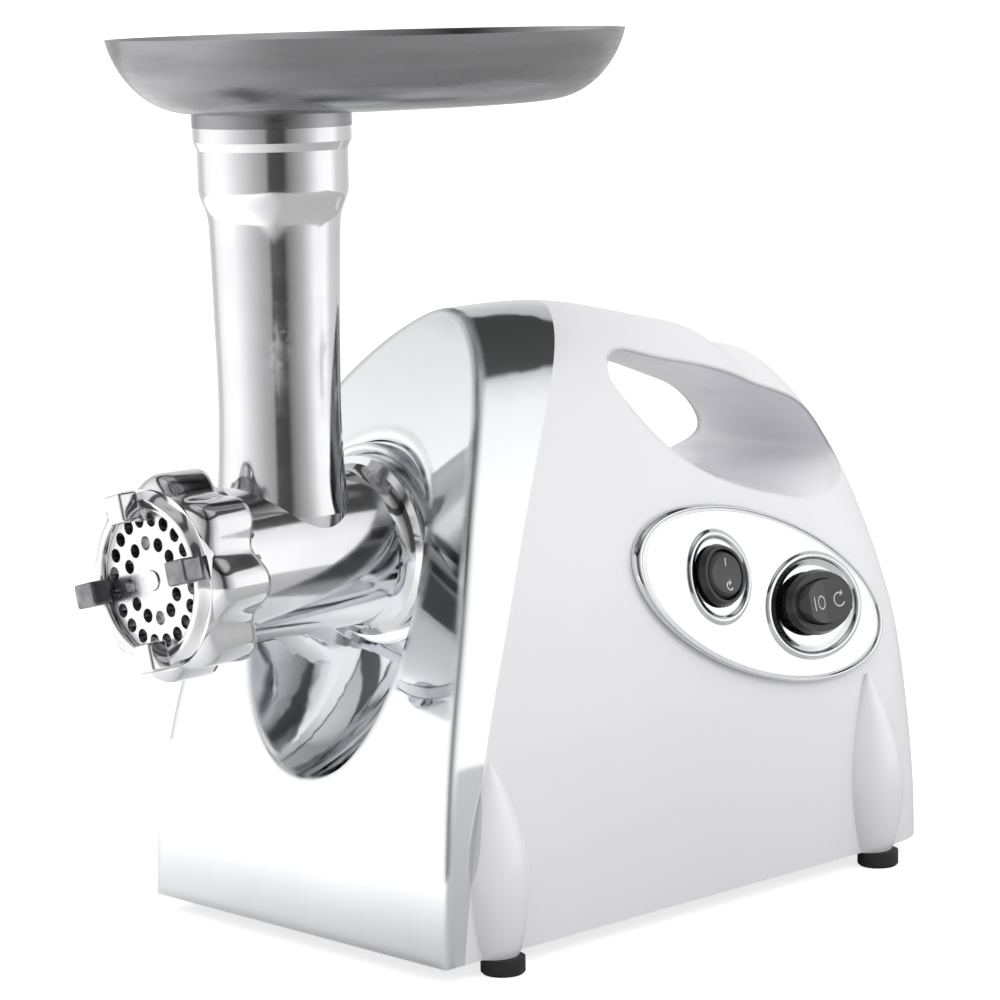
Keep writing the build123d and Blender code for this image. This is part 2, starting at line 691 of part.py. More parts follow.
coupler_front_y = -35.0
coupler_floor_y = -17.5
with BuildPart() as drive_coupler:
    with BuildSketch(plane_facing_front(0, output_gear_y[1], barrel_z)):
        Circle(coupler_radius)
    extrude(amount=output_gear_y[1] - coupler_front_y)
    with BuildSketch(plane_facing_front(0, gearbox_back_y, barrel_z)):
        Circle(output_shaft_radius)
    extrude(amount=gearbox_back_y - output_gear_y[1])
    with BuildSketch(plane_facing_front(0, coupler_floor_y, barrel_z)):
        RegularPolygon(6.9, 6)
    extrude(amount=30, mode=Mode.SUBTRACT)
    with BuildSketch(plane_facing_front(0, -29.7, barrel_z)):
        Circle(8.4)
    extrude(amount=10, mode=Mode.SUBTRACT)
save(drive_coupler.part, "drive_coupler")


def gearbox_outline(inset):
    """Outline around all the gears, seen from the front."""
    with BuildSketch(mode=Mode.PRIVATE) as outline:
        for centre, radius in ((output_centre, 43.5), (second_centre, 36.0), (first_centre, 31.5),
                               (motor_centre, 14.0)):
            with Locations(centre):
                Circle(radius - inset)
        make_hull()
    return outline.sketch


with BuildPart() as gearbox_housing:
    with BuildSketch(plane_facing_front(0, gearbox_back_y - gearbox_wall, 0)):
        add(gearbox_outline(0.0))
    extrude(amount=gearbox_back_y - gearbox_wall - gearbox_front_y)
    with BuildSketch(plane_facing_front(0, gearbox_back_y - gearbox_wall, 0)):
        add(gearbox_outline(gearbox_wall))
    extrude(amount=gearbox_back_y - 2 * gearbox_wall - gearbox_front_y, mode=Mode.SUBTRACT)
    with BuildSketch(plane_facing_front(0, gearbox_front_y, barrel_z)):
        Circle(19)
    extrude(amount=7.5)
    with BuildSketch(plane_facing_front(0, gearbox_front_y + gearbox_wall, barrel_z)):
        Circle(16)
    extrude(amount=20, mode=Mode.SUBTRACT)
    for centre in (first_centre, second_centre):
        with BuildSketch(plane_facing_front(centre[0], gearbox_front_y, centre[1])):
            Circle(pin_radius)
        extrude(amount=20, both=True, mode=Mode.SUBTRACT)
save(gearbox_housing.part, "gearbox_housing")

with BuildPart() as gearbox_cover:
    with BuildSketch(plane_facing_front(0, gearbox_back_y, 0)):
        add(gearbox_outline(0.0))
        with Locations(output_centre):
            Circle(output_shaft_radius + running_gap, mode=Mode.SUBTRACT)
        with Locations(motor_centre):
            Circle(6.0, mode=Mode.SUBTRACT)
        for centre in (first_centre, second_centre):
            with Locations(centre):
                Circle(pin_radius, mode=Mode.SUBTRACT)
    extrude(amount=gearbox_wall)
save(gearbox_cover.part, "gearbox_cover")

with BuildPart() as gear_pins:
    for centre in (first_centre, second_centre):
        with BuildSketch(plane_facing_front(centre[0], gearbox_back_y, centre[1])):
            Circle(pin_radius)
        extrude(amount=gearbox_back_y - gearbox_front_y)
save(gear_pins.part, "gear_pins")

with BuildPart() as output_bearing:
    with BuildSketch(plane_facing_front(0, gearbox_front_y + gearbox_wall - 0.5, barrel_z)):
        Circle(16)
        Circle(coupler_radius + running_gap, mode=Mode.SUBTRACT)
    extrude(amount=9)
save(output_bearing.part, "output_bearing")

with BuildPart() as head_socket:
    with BuildSketch(Plane.YZ):
        with BuildLine():
            Polyline((collar_front_y + 1, barrel_z + collar_radius), (gearbox_front_y, barrel_z + collar_radius),
                     (gearbox_front_y, barrel_z + hub_radius + 0.1), (flange_back_y + 0.3, barrel_z + hub_radius + 0.1),
                     (flange_back_y + 0.3, barrel_z + flange_radius + 1.2),
                     (collar_front_y, barrel_z + flange_radius + 1.2), (collar_front_y, barrel_z + collar_radius - 1),
                     (collar_front_y + 1, barrel_z + collar_radius))
        make_face()
    revolve(axis=barrel_axis)
save(head_socket.part, "head_socket")

# ---------------------------------------------------------------- motor
motor_x, motor_z = motor_centre
motor_axis = Axis((motor_x, 0, motor_z), (0, 1, 0))
shaft_radius = 4.0
pinion_bore = 2.5
stack_y = (52.0, 97.0)
stack_bore = 22.0
armature_radius = 21.4
coil_ring = (22.8, 29.4)


def motor_plane(y):
    """Plane across the motor, centred on its shaft."""
    return plane_facing_front(motor_x, y, motor_z)


def ring_sector(inner, outer, start, end):
    """Flat sector of a ring between two angles."""
    with BuildSketch() as sector:
        with BuildLine():
            outside = CenterArc((0, 0), outer, start, end - start)
            inside = CenterArc((0, 0), inner, start, end - start)
            Line(outside @ 0, inside @ 0)
            Line(outside @ 1, inside @ 1)
        make_face()
    return sector.sketch


coil_angles = (12.0, 44.0)
with BuildPart() as motor_stator:
    with BuildSketch(motor_plane(stack_y[1])):
        RectangleRounded(76, 68, 16)
        Circle(stack_bore, mode=Mode.SUBTRACT)
        for quarter in (0, 90, 180, 270):
            start = coil_angles[0] if quarter in (0, 180) else 90 - coil_angles[1]
            window = ring_sector(stack_bore - 1, coil_ring[1] + 0.4, quarter + start - 1.2,
                                 quarter + start + coil_angles[1] - coil_angles[0] + 1.2)
            add(window, mode=Mode.SUBTRACT)
    extrude(amount=stack_y[1] - stack_y[0])
save(motor_stator.part, "motor_stator")

with BuildPart() as field_coils:
    for lower in (0, 180):
        for y_back, length in ((stack_y[0], 7.0), (stack_y[1] + 7.0, 7.0)):
            with BuildSketch(motor_plane(y_back)):
                add(ring_sector(*coil_ring, lower + coil_angles[0], lower + 180 - coil_angles[0]))
            extrude(amount=length)
        for start in (lower + coil_angles[0], lower + 180 - coil_angles[1]):
            with BuildSketch(motor_plane(stack_y[1] + 1)):
                add(ring_sector(*coil_ring, start, start + coil_angles[1] - coil_angles[0]))
            extrude(amount=stack_y[1] - stack_y[0] + 2)
save(field_coils.part, "field_coils")

with BuildPart() as motor_shaft:
    with BuildSketch(motor_plane(134)):
        Circle(shaft_radius)
    extrude(amount=134 - 17)
    with BuildSketch(motor_plane(17)):
        Circle(pinion_bore)
    extrude(amount=12)
save(motor_shaft.part, "motor_shaft")

with BuildPart() as motor_pinion:
    with BuildSketch(motor_plane(first_gear_y[1] + 0.5)):
        add(gear_blank(first_module, pinion_teeth))
        Circle(pinion_bore, mode=Mode.SUBTRACT)
    extrude(amount=first_gear_y[1] - first_gear_y[0] + 1)
save(motor_pinion.part, "motor_pinion")

with BuildPart() as armature:
    with BuildSketch(motor_plane(stack_y[1])):
        Circle(armature_radius)
        with PolarLocations(18.0, 12):
            SlotOverall(5.2, 2.6)
        Circle(shaft_radius, mode=Mode.SUBTRACT)
        with PolarLocations(17.4, 12):
            Circle(2.1, mode=Mode.SUBTRACT)
        with PolarLocations(20.6, 12):
            Rectangle(3.0, 1.4, mode=Mode.SUBTRACT)
    extrude(amount=stack_y[1] - stack_y[0])
    for y_back in (stack_y[0], stack_y[1] + 8):
        with BuildSketch(motor_plane(y_back)):
            Circle(17.5)
            Circle(shaft_radius, mode=Mode.SUBTRACT)
        extrude(amount=8)
save(armature.part, "armature")

commutator_y = (108.0, 122.0)
with BuildPart() as commutator:
    with BuildSketch(motor_plane(commutator_y[1])):
        Circle(11.5)
        Circle(shaft_radius, mode=Mode.SUBTRACT)
        with PolarLocations(11.4, 22):
            Rectangle(1.6, 0.5, mode=Mode.SUBTRACT)
    extrude(amount=commutator_y[1] - commutator_y[0])
save(commutator.part, "commutator")

fan_y = (31.0, 42.5)
with BuildPart() as cooling_fan:
    with BuildSketch(motor_plane(fan_y[1])):
        Circle(32)
        Circle(shaft_radius, mode=Mode.SUBTRACT)
    extrude(amount=1.8)
    with BuildSketch(motor_plane(fan_y[1])):
        Circle(8)
        Circle(shaft_radius, mode=Mode.SUBTRACT)
        with PolarLocations(20, 9):
            with Locations(Location((0, 0), 28)):
                Rectangle(19, 1.6)
    extrude(amount=fan_y[1] - fan_y[0])
save(cooling_fan.part, "cooling_fan")

bearing_radius = 9.0
with BuildPart() as motor_bearings:
    for y_back in (29.0, 133.0):
        with BuildSketch(motor_plane(y_back)):
            Circle(bearing_radius)
            Circle(shaft_radius + running_gap, mode=Mode.SUBTRACT)
        extrude(amount=6)
save(motor_bearings.part, "motor_bearings")

for name, y_back, feet_back in (("motor_front_bracket", 29.0, 52.0), ("motor_rear_bracket", 133.0, 133.0)):
    with BuildPart() as bracket:
        with BuildSketch(motor_plane(y_back)):
            Rectangle(76, 22)
            Rectangle(22, 64)
            Circle(14)
            Circle(bearing_radius, mode=Mode.SUBTRACT)
        extrude(amount=6)
        leg_length = stack_y[0] - 23.0 if y_back < stack_y[0] else 133.0 - stack_y[1]
        with BuildSketch(motor_plane(feet_back)):
            with GridLocations(72, 0, 2, 1):
                Rectangle(4, 22)
        extrude(amount=leg_length)
    save(bracket.part, name)

brush_half = (3.0, 5.0)
with BuildPart() as carbon_brushes:
    with BuildSketch(Plane.YZ.offset(motor_x)):
        with Locations((sum(commutator_y) / 2, motor_z)):
            Rectangle(2 * brush_half[1], 2 * brush_half[0])
    extrude(amount=24, both=True)
    with BuildSketch(motor_plane(commutator_y[1] + 2)):
        Circle(11.5 + 0.15)
    extrude(amount=20, mode=Mode.SUBTRACT)
save(carbon_brushes.part, "carbon_brushes")

with BuildPart() as brush_holders:
    with BuildSketch(Plane.YZ.offset(motor_x)):
        with Locations((sum(commutator_y) / 2, motor_z)):
            Rectangle(2 * brush_half[1] + 4, 2 * brush_half[0] + 4)
            Rectangle(2 * brush_half[1], 2 * brush_half[0], mode=Mode.SUBTRACT)
    extrude(amount=33.8, both=True)
    with BuildSketch(motor_plane(commutator_y[1] + 10)):
        Circle(13.5)
    extrude(amount=40, mode=Mode.SUBTRACT)
save(brush_holders.part, "brush_holders")

cradle_top = motor_z - 34 - 1.5
with BuildPart() as motor_cradle:
    with BuildSketch(Plane.XY.offset(body_bottom + base_thickness)):
        with Locations((motor_x, sum(stack_y) / 2)):
            Rectangle(52, 40)
            Rectangle(46, 34, mode=Mode.SUBTRACT)
            Rectangle(46, 3)
    extrude(amount=cradle_top - body_bottom - base_thickness)
save(motor_cradle.part, "motor_cradle")

with BuildPart() as cradle_pad:
    with BuildSketch(Plane.XY.offset(cradle_top)):
        with Locations((motor_x, sum(stack_y) / 2)):
            Rectangle(42, 40)
    extrude(amount=1.5)
save(cradle_pad.part, "cradle_pad")

with BuildPart() as control_board:
    with BuildSketch(Plane.YZ.offset(-52)):
        with Locations((110, 45)):
            Rectangle(60, 44)
    extrude(amount=1.6)
    with BuildSketch(Plane.YZ.offset(-50.4)):
        with Locations((98, 50)):
            Circle(8)
        with Locations((124, 52)):
            Rectangle(14, 20)
    extrude(amount=12)
    with BuildSketch(Plane.XY.offset(body_bottom + base_thickness)):
        with Locations((-51.2, 110)):
            Rectangle(6, 60)
    extrude(amount=16)
save(control_board.part, "control_board")

cord_x, cord_z = -30.0, 36.0
cord_hole = 3.6
with BuildPart() as cord_gland:
    with BuildSketch(plane_facing_front(cord_x, rear_y + 1.6, cord_z)):
        Circle(8.6)
    extrude(amount=1.6)
    with BuildSketch(plane_facing_front(cord_x, rear_y + 5.5, cord_z)):
        Circle(5.4)
    extrude(amount=4.5)
    with BuildSketch(plane_facing_front(cord_x, rear_y, cord_z)):
        Circle(6.4)
    extrude(amount=7)
    with BuildSketch(plane_facing_front(cord_x, rear_y - wall, cord_z)):
        Circle(8.0)
        Circle(6.0, mode=Mode.SUBTRACT)
    extrude(amount=2.2)
    with BuildSketch(plane_facing_front(cord_x, rear_y + 10, cord_z)):
        Circle(cord_hole)
    extrude(amount=30, mode=Mode.SUBTRACT)
save(cord_gland.part, "cord_gland")
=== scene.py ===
import json
import math

import bmesh
import bpy
import numpy as np
from mathutils import Matrix, Vector
from mathutils.bvhtree import BVHTree


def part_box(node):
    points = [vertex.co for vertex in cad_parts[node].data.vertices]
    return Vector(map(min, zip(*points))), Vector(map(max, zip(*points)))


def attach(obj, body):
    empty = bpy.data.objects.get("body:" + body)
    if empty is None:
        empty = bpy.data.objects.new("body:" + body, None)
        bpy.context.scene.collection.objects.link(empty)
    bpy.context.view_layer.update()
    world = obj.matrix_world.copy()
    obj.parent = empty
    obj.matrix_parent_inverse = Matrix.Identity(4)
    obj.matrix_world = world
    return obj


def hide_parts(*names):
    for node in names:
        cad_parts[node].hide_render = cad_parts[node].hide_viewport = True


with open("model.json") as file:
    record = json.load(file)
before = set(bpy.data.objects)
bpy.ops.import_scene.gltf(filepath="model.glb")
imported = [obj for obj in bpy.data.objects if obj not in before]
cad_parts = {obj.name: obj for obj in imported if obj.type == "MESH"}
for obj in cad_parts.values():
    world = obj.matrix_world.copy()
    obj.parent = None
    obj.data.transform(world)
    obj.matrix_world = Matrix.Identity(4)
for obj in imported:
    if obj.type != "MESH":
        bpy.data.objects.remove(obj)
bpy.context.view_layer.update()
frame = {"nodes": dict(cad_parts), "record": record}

MM = 0.001
BARREL_Z = 143.0 * MM       # height of the axis that the auger, the head and the ring nut share


# ---------------------------------------------------------------- material helpers
NOISE_SPAN = (0.3, 0.7)     # the part of the noise's range that carries a change of tone or roughness


def start_material(name, color, roughness, metallic=0.0):
    """A material with its Principled shader set, and the pieces needed to add to it."""
    material = bpy.data.materials.new(name)
    material.use_nodes = True
    tree = material.node_tree
    shader = tree.nodes["Principled BSDF"]
    shader.inputs["Base Color"].default_value = (*color, 1.0)
    shader.inputs["Roughness"].default_value = roughness
    shader.inputs["Metallic"].default_value = metallic
    return material, tree, shader


def noise_field(tree, scale, stretch=(1.0, 1.0, 1.0), detail=3.0):
    """Noise over the object's own coordinates, in features per metre, optionally stretched."""
    coords = tree.nodes.new("ShaderNodeTexCoord")
    mapping = tree.nodes.new("ShaderNodeMapping")
    mapping.inputs["Scale"].default_value = stretch
    noise = tree.nodes.new("ShaderNodeTexNoise")
    noise.inputs["Scale"].default_value = scale
    noise.inputs["Detail"].default_value = detail
    tree.links.new(coords.outputs["Object"], mapping.inputs["Vector"])
    tree.links.new(mapping.outputs["Vector"], noise.inputs["Vector"])
    return noise


def map_range(tree, source, start, end, low=0.0, high=1.0):
    """Maps start..end on to low..high, clamped; gives the output socket."""
    node = tree.nodes.new("ShaderNodeMapRange")
    node.inputs["From Min"].default_value = start
    node.inputs["From Max"].default_value = end
    node.inputs["To Min"].default_value = low
    node.inputs["To Max"].default_value = high
    tree.links.new(source, node.inputs["Value"])
    return node.outputs["Result"]


def vary(tree, socket, noise, low, high):
    """Drives a socket from noise, between two values."""
    tree.links.new(map_range(tree, noise.outputs["Fac"], *NOISE_SPAN, low, high), socket)


def tint(tree, shader, noise, dark, light):
    """Colour that wanders between two tones."""
    ramp = tree.nodes.new("ShaderNodeValToRGB")
    for element, position, color in zip(ramp.color_ramp.elements, NOISE_SPAN, (dark, light)):
        element.position = position
        element.color = (*color, 1.0)
    tree.links.new(noise.outputs["Fac"], ramp.inputs["Fac"])
    tree.links.new(ramp.outputs["Color"], shader.inputs["Base Color"])


def relief(tree, shader, noise, depth_mm, strength):
    """Fine surface relief from noise."""
    bump = tree.nodes.new("ShaderNodeBump")
    bump.inputs["Distance"].default_value = depth_mm * MM
    bump.inputs["Strength"].default_value = strength
    tree.links.new(noise.outputs["Fac"], bump.inputs["Height"])
    tree.links.new(bump.outputs["Normal"], shader.inputs["Normal"])
    return bump


def math_node(tree, operation, *values):
    """Math node with numbers or sockets as inputs; gives its output socket."""
    node = tree.nodes.new("ShaderNodeMath")
    node.operation = operation
    for socket, value in zip(node.inputs, values):
        if isinstance(value, (int, float)):
            socket.default_value = value
        else:
            tree.links.new(value, socket)
    return node.outputs["Value"]


def object_axes(tree):
    """X, Y and Z of the object's own coordinates, as sockets by name."""
    coords = tree.nodes.new("ShaderNodeTexCoord")
    split = tree.nodes.new("ShaderNodeSeparateXYZ")
    tree.links.new(coords.outputs["Object"], split.inputs["Vector"])
    return split.outputs


def rounded_edges(tree, radius, samples):
    """Normal socket of surfaces whose edges shade as if they were rounded."""
    edge = tree.nodes.new("ShaderNodeBevel")
    edge.samples = samples
    tree.links.new(radius, edge.inputs["Radius"])
    return edge.outputs["Normal"]


# ---------------------------------------------------------------- materials
def white_plastic():
    material, tree, shader = start_material("glossy_white_plastic", (0.84, 0.835, 0.86), 0.16)
    shader.inputs["Coat Weight"].default_value = 0.35
    shader.inputs["Coat Roughness"].default_value = 0.05
    shader.inputs["IOR"].default_value = 1.5
    tint(tree, shader, noise_field(tree, 9), (0.775, 0.77, 0.80), (0.80, 0.795, 0.825))
    vary(tree, shader.inputs["Roughness"], noise_field(tree, 60), 0.13, 0.2)
    bump = relief(tree, shader, noise_field(tree, 420, detail=2), 0.05, 0.05)
    # The rims of the hand hole shade as if they were rounded. The zone leaves out the seam and the lower body.
    zone_low, zone_front, zone_inner, rim_radius = 143 * MM, 31 * MM, 14 * MM, 4.5 * MM
    axes = object_axes(tree)
    above = math_node(tree, "GREATER_THAN", axes["Z"], zone_low)
    behind = math_node(tree, "GREATER_THAN", axes["Y"], zone_front)
    beside = math_node(tree, "GREATER_THAN", math_node(tree, "ABSOLUTE", axes["X"]), zone_inner)
    zone = math_node(tree, "MULTIPLY", math_node(tree, "MULTIPLY", above, behind), beside)
    rims = rounded_edges(tree, math_node(tree, "MULTIPLY", zone, rim_radius), samples=6)
    tree.links.new(rims, bump.inputs["Normal"])
    return material


def chrome_parts(name, low=0.02, high=0.06):
    material, tree, shader = start_material(name, (0.82, 0.83, 0.85), 0.04, 1.0)
    tint(tree, shader, noise_field(tree, 14), (0.80, 0.81, 0.83), (0.85, 0.86, 0.88))
    vary(tree, shader.inputs["Roughness"], noise_field(tree, 45, detail=6), low, high)
    return material, tree, shader


def chrome(name, low=0.02, high=0.06):
    return chrome_parts(name, low, high)[0]


def rounded_chrome():
    """Chrome whose sharp outer edges shade as if they were rounded."""
    material, tree, shader = chrome_parts("bright_chrome")
    # Only in front of a curve half way between the front face and the seam:
    # y = (bend z + slope) z + foot, in metres.
    bend, slope, foot, edge_radius = 2.043, -0.0151, -0.098, 5 * MM
    axes = object_axes(tree)
    steep = math_node(tree, "MULTIPLY_ADD", axes["Z"], bend, slope)
    halfway = math_node(tree, "MULTIPLY_ADD", steep, axes["Z"], foot)
    ahead = math_node(tree, "LESS_THAN", axes["Y"], halfway)
    edges = rounded_edges(tree, math_node(tree, "MULTIPLY", ahead, edge_radius), samples=8)
    tree.links.new(edges, shader.inputs["Normal"])
    return material


def lug_steel():
    material, tree, shader = start_material("lug_steel", (0.3, 0.3, 0.31), 0.28, 1.0)
    tint(tree, shader, noise_field(tree, 200, detail=6), (0.18, 0.18, 0.19), (0.32, 0.32, 0.33))
    relief(tree, shader, noise_field(tree, 700, detail=4), 0.1, 0.15)
    return material


def polished_casting():
    material, tree, shader = start_material("polished_cast_aluminium", (0.74, 0.74, 0.75), 0.13, 1.0)
    tint(tree, shader, noise_field(tree, 30, detail=6), (0.70, 0.70, 0.715), (0.79, 0.79, 0.80))
    vary(tree, shader.inputs["Roughness"], noise_field(tree, 130, detail=8), 0.06, 0.14)
    relief(tree, shader, noise_field(tree, 160, detail=5), 0.06, 0.12)
    return material


def satin_sheet():
    material, tree, shader = start_material("satin_tray_sheet", (0.42, 0.42, 0.43), 0.22, 1.0)
    shader.inputs["Anisotropic"].default_value = 0.45
    tint(tree, shader, noise_field(tree, 20, (1, 0.35, 6), detail=6), (0.27, 0.27, 0.275), (0.36, 0.36, 0.37))
    vary(tree, shader.inputs["Roughness"], noise_field(tree, 160, (1, 0.3, 5), detail=8), 0.17, 0.3)
    relief(tree, shader, noise_field(tree, 900, (1, 0.25, 5), detail=3), 0.03, 0.12)
    return material


def ground_steel():
    material, tree, shader = start_material("ground_plate_steel", (0.8, 0.8, 0.81), 0.22, 1.0)
    vary(tree, shader.inputs["Roughness"], noise_field(tree, 500, (6, 1, 1), detail=6), 0.16, 0.3)
    relief(tree, shader, noise_field(tree, 1500, (8, 1, 1)), 0.02, 0.15)
    return material


def moulded_black(name, tone, low, high):
    material, tree, shader = start_material(name, (tone, tone, tone * 1.05), low)
    vary(tree, shader.inputs["Roughness"], noise_field(tree, 220, detail=5), low, high)
    relief(tree, shader, noise_field(tree, 1800, detail=2), 0.04, 0.2)
    return material


def machined(name, dark, light, low, high):
    material, tree, shader = start_material(name, light, low, 1.0)
    tint(tree, shader, noise_field(tree, 120, (1, 4, 1), detail=5), dark, light)
    vary(tree, shader.inputs["Roughness"], noise_field(tree, 300, (1, 6, 1), detail=5), low, high)
    return material


def plain_plastic(name, dark, light):
    material, tree, shader = start_material(name, light, 0.45)
    tint(tree, shader, noise_field(tree, 70, detail=4), dark, light)
    vary(tree, shader.inputs["Roughness"], noise_field(tree, 200), 0.38, 0.55)
    return material


finish = {
    "white_shell": white_plastic(),
    "bright_cover": rounded_chrome(),
    "lugs": lug_steel(),
    "bright_panel": chrome("panel_chrome", 0.03, 0.08),
    "head_metal": polished_casting(),
    "tray_metal": satin_sheet(),
    "plate_steel": ground_steel(),
    "black_plastic": moulded_black("black_moulded_plastic", 0.035, 0.4, 0.55),
    "switch_plastic": moulded_black("switch_black", 0.02, 0.22, 0.32),
    "rocker_plastic": moulded_black("rocker_grey", 0.055, 0.36, 0.46),
    "rubber": moulded_black("foot_rubber", 0.018, 0.6, 0.8),
    "gear_steel": machined("gear_steel", (0.42, 0.42, 0.43), (0.58, 0.58, 0.6), 0.25, 0.4),
    "lamination_steel": machined("lamination_steel", (0.25, 0.25, 0.26), (0.4, 0.4, 0.42), 0.4, 0.55),
    "screw_steel": machined("screw_steel", (0.5, 0.5, 0.5), (0.65, 0.65, 0.66), 0.25, 0.4),
    "copper": machined("winding_copper", (0.5, 0.2, 0.08), (0.75, 0.36, 0.18), 0.3, 0.45),
    "bronze": machined("sintered_bronze", (0.4, 0.26, 0.1), (0.6, 0.42, 0.2), 0.35, 0.5),
    "gear_nylon": plain_plastic("natural_nylon", (0.72, 0.7, 0.62), (0.8, 0.79, 0.72)),
    "board": plain_plastic("board_green", (0.02, 0.12, 0.05), (0.04, 0.2, 0.08)),
}
slot_of = {part["node"]: part["material_slot"] for part in frame["record"]["subparts"]}
for name, node in frame["nodes"].items():
    node.data.materials.clear()
    node.data.materials.append(finish[slot_of[name]])


# ---------------------------------------------------------------- mesh helpers
def add_object(name, data):
    """A new object in the scene."""
    added = bpy.data.objects.new(name, data)
    bpy.context.scene.collection.objects.link(added)
    return added


def mesh_piece(name, verts, faces, slot, body, smooth=True):
    """A new visible piece, from vertices in the shared frame."""
    mesh = bpy.data.meshes.new(name)
    mesh.from_pydata([tuple(v) for v in verts], [], faces)
    mesh.validate()
    piece = add_object(name, mesh)
    mesh.materials.append(finish[slot])
    for polygon in mesh.polygons:
        polygon.use_smooth = smooth
    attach(piece, body)
    return piece


def node_tree(name):
    """Search tree over a CAD node, for finding points on its surface."""
    return BVHTree.FromObject(frame["nodes"][name], bpy.context.evaluated_depsgraph_get())


# ---------------------------------------------------------------- ring nut
def around_barrel(radius, angle, y):
    """Point at a radius and angle around the barrel's axis, all lengths in millimetres."""
    return (radius * MM * math.cos(angle), y * MM, BARREL_Z + radius * MM * math.sin(angle))


def ring_nut():
    """Lobed nut whose front slopes in to a round lip, with a wavy back edge. Lengths in millimetres."""
    lobes, steps = 8, 384
    back_wave, wave_reach = 2.6, 8.0
    outer, valley, lip, bore, thread = 36.8, 4.6, 28.4, 25.2, 31.8
    front, back = -166.0, -139.8
    # Share of the lobes' depth, radius and y, once round the section.
    profile = [(0.0, bore, front + 2.9), (0.0, bore, front + 0.5), (0.0, bore + 0.5, front),
               (0.0, lip - 0.8, front), (0.05, lip, front + 0.4), (0.2, lip + 1.0, front + 2.0),
               (0.55, outer - 4.2, front + 3.6), (0.85, outer - 1.3, front + 5.2),
               (1.0, outer - 0.2, front + 7.4), (1.0, outer, front + 10.5),
               (1.0, outer, front + 15.0), (1.0, outer, back - 3.0),
               (1.0, outer - 0.2, back - 1.2), (0.95, outer - 0.8, back - 0.3), (0.85, outer - 1.7, back),
               (0.0, thread, back), (0.0, thread, front + 3.0)]
    verts, faces = [], []
    for i in range(steps):
        angle = 2 * math.pi * i / steps
        hollow = (0.5 - 0.5 * math.cos(lobes * angle)) ** 1.25
        for share, radius, y in profile:
            behind = max(0.0, (y - back + wave_reach) / wave_reach)
            wave = back_wave * hollow * behind * min(1, share)
            verts.append(around_barrel(radius - share * valley * hollow, angle, y - wave))
    rows = len(profile)
    for i in range(steps):
        j = (i + 1) % steps
        for k in range(rows):
            m = (k + 1) % rows
            faces.append((i * rows + k, i * rows + m, j * rows + m, j * rows + k))
    nut = mesh_piece("ring_nut_body", verts, faces, "head_metal", "ring_nut")
    nut.data.set_sharp_from_angle(angle=math.radians(50))
    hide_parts("ring_nut")


def driving_lugs():
    """Four rounded blocks on the nut's front, which the wrench holds. The upper and lower one are brighter."""
    first_angle, radius, lug_y, rounding = 15, 26.2 * MM, -169.6 * MM, 1.3 * MM
    size = Matrix.Diagonal((10.4 * MM, 8.4 * MM, 8.6 * MM, 1.0))
    out = Matrix.Translation((radius, lug_y, 0))
    shaped = bmesh.new()
    for i in range(4):
        block = bmesh.ops.create_cube(shaped, size=1.0)["verts"]
        turn = Matrix.Rotation(-math.radians(first_angle + 90 * i), 4, "Y")
        place = Matrix.Translation((0, 0, BARREL_Z)) @ turn
        bmesh.ops.transform(shaped, matrix=place @ out @ size, verts=block)
    bmesh.ops.bevel(shaped, geom=list(shaped.edges), offset=rounding, segments=4, profile=0.6, affect="EDGES")
    mesh = bpy.data.meshes.new("ring_nut_lugs")
    shaped.to_mesh(mesh)
    shaped.free()
    lugs = add_object("ring_nut_lugs", mesh)
    mesh.materials.append(finish["lugs"])
    mesh.materials.append(finish["head_metal"])
    for polygon in mesh.polygons:
        polygon.use_smooth = True
        polygon.material_index = 1 if abs(polygon.center.z - BARREL_Z) > 15 * MM else 0
    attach(lugs, "ring_nut")


# ---------------------------------------------------------------- control panel
def surface_fit(name, lateral_min):
    """Smooth surface x = f(y, z) through the outside of a CAD node on the +X side, as a function."""
    node = frame["nodes"][name]
    tree = node_tree(name)
    low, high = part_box(name)
    rows, hits = [], []
    for y in np.linspace(low.y, high.y, 60):
        for z in np.linspace(low.z, high.z, 40):
            hit, normal, _, _ = tree.ray_cast(Vector((0.2, y, z)), Vector((-1, 0, 0)))
            if hit is not None and hit.x > lateral_min and normal.x > 0.8:
                rows.append(terms(y, z))
                hits.append(hit.x)
    weights = np.linalg.lstsq(np.array(rows), np.array(hits), rcond=None)[0]
    return lambda y, z: float(np.dot(terms(y, z), weights))


def terms(y, z):
    """Cubic terms in y and z, scaled to be about one."""
    a, b = y / 0.1, (z - 0.115) / 0.05
    return [1, a, b, a * a, a * b, b * b, a**3, a * a * b, a * b * b, b**3]


def bump_between(value, start, end):
    """Half sine that rises and falls between two values."""
    if value <= start or value >= end:
        return 0.0
    return math.sin(math.pi * (value - start) / (end - start))


def ease(value, start, end):
    """Smooth step from 0 at start to 1 at end."""
    share = min(1.0, max(0.0, (value - start) / (end - start)))
    return share * share * (3 - 2 * share)


